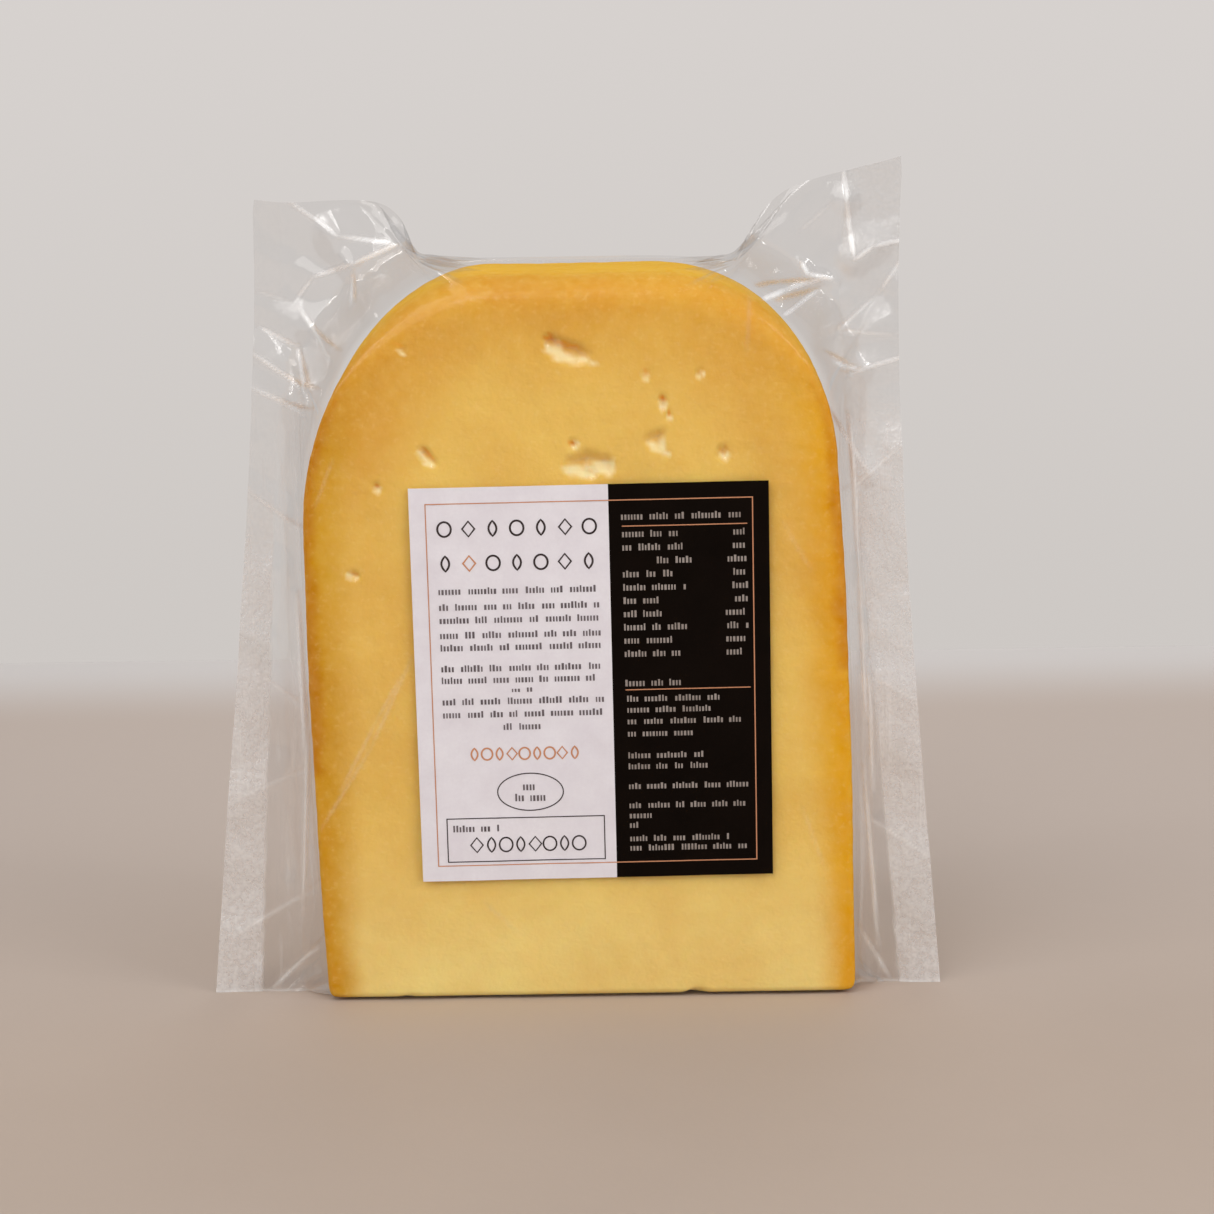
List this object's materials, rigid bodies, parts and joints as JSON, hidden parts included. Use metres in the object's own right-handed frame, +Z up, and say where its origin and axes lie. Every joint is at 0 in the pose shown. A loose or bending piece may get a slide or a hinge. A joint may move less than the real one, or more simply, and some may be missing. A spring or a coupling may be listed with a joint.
{
  "type": "vacuum-packed cheese wedge",
  "caption": "Wedge of semi-hard Gouda standing on its trimmed nose, sealed in a clear vacuum pouch with a plain white and black paper label on its front.",
  "frame": {"origin": "on the ground, under the middle of the pouch's bounding box", "axes": "+Z up from the nose to the rim, +X along the bottom seal-to-seal width, -Y out of the labelled front face"},
  "size_m": [0.1112, 0.0326, 0.126],
  "materials": {
    "cheese": "satin, waxy",
    "film": "clear, glossy",
    "label": "coated paper"
  },
  "bodies": {
    "root": {"cheese_wedge": "cheese", "front_film": "film", "back_film": "film", "front_label": "label"}
  },
  "joints": []
}
